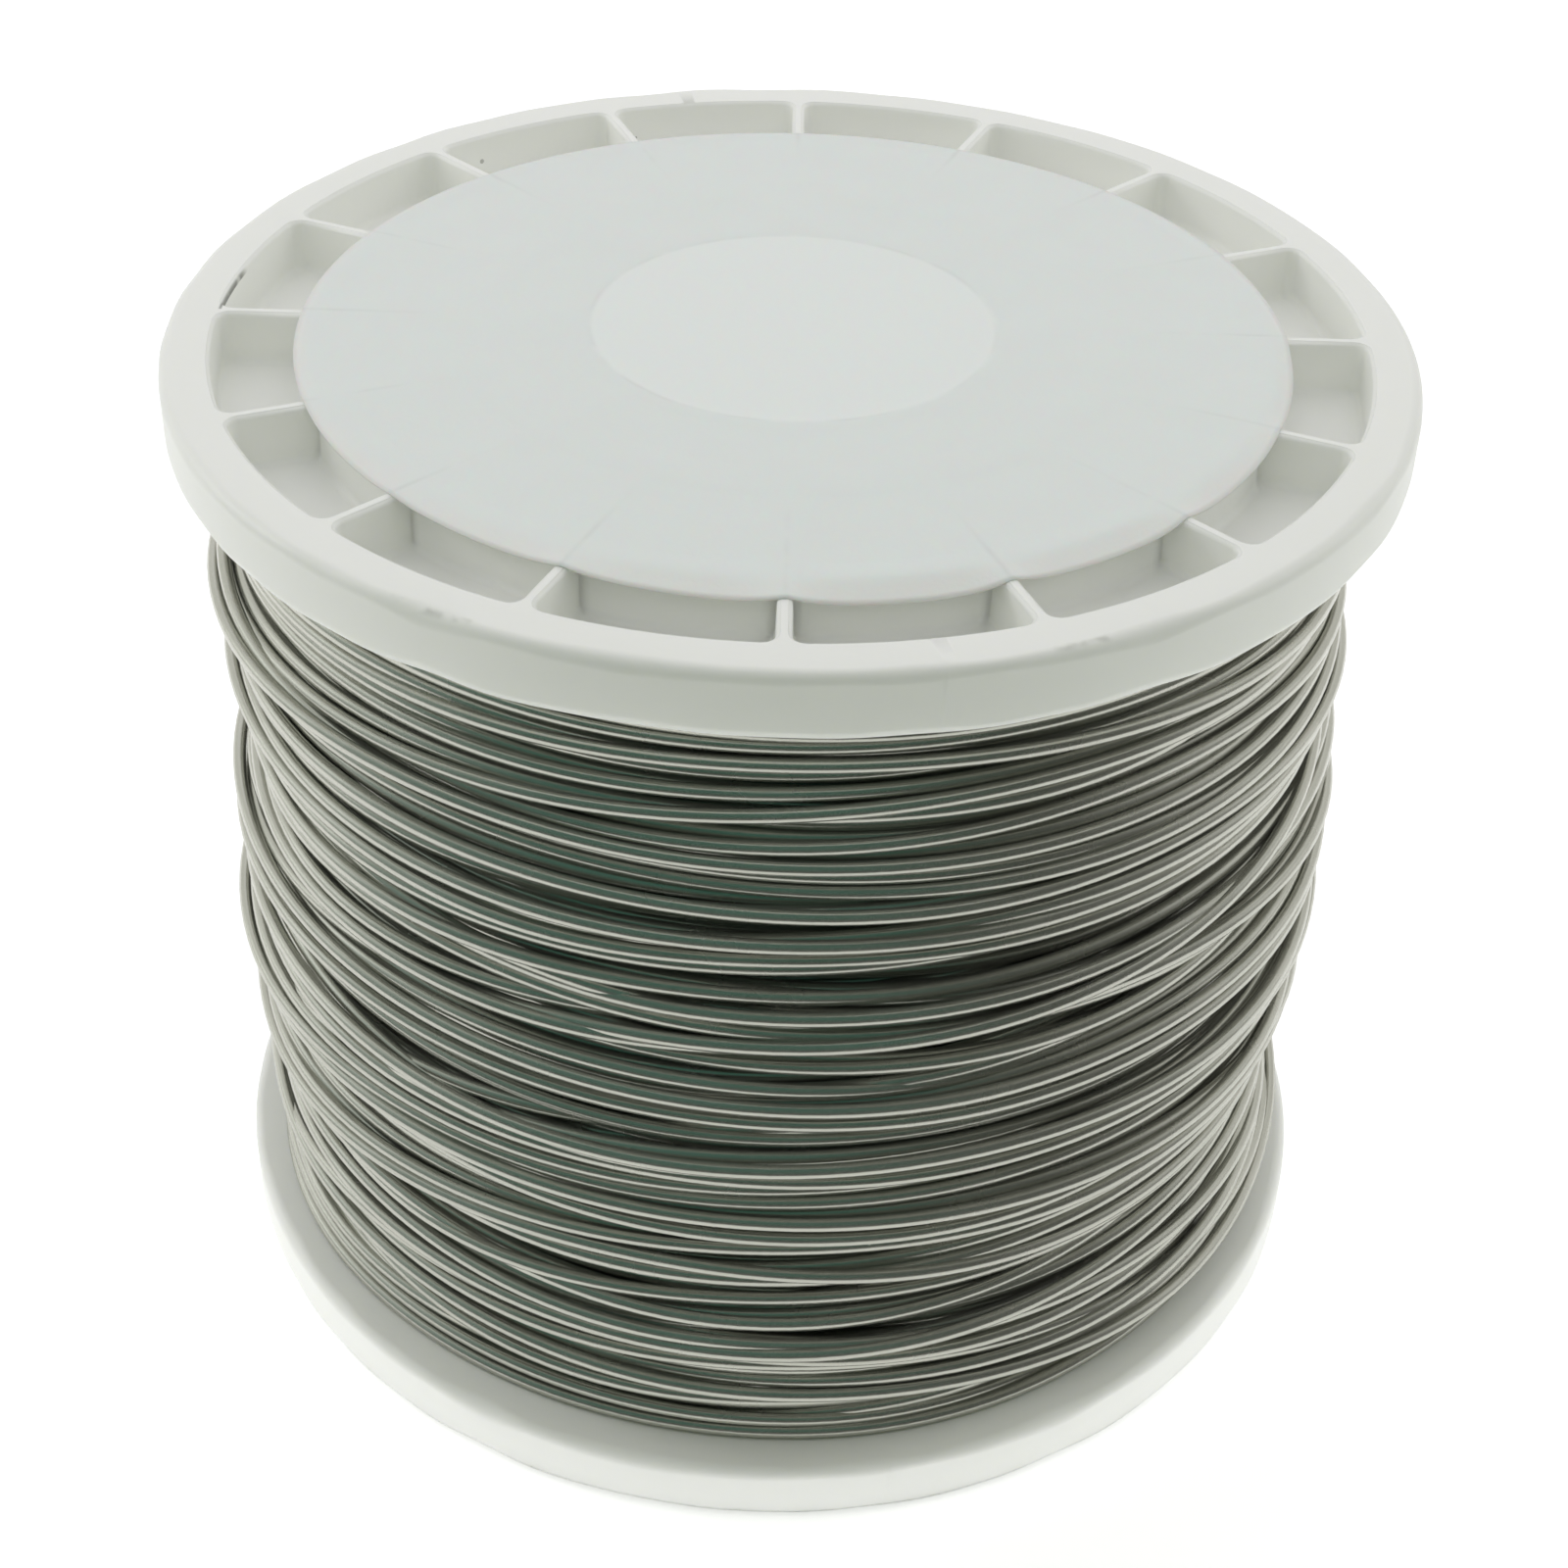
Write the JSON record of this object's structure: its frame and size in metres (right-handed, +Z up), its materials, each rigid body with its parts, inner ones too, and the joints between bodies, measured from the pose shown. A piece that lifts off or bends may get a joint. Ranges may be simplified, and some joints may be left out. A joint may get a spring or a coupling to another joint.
{
  "type": "solder wire spool",
  "caption": "Moulded plastic reel with ribbed flanges and a hub bore, filled with wound soft solder wire, with a bare round paper label on its upper flange.",
  "frame": {"origin": "middle of the lower flange's outer face, on the reel's axis", "axes": "+Z up along the reel's axis, -Y towards the viewer of the picture"},
  "size_m": [0.06, 0.06, 0.0516],
  "materials": {
    "reel_plastic": "white moulded polystyrene, satin",
    "solder": "dull drawn tin-lead wire",
    "label_paper": "uncoated white paper"
  },
  "bodies": {
    "root": {"reel": "reel_plastic", "wire_inner_layers": "solder", "wire_outer_layer": "solder", "label": "label_paper"}
  },
  "joints": []
}
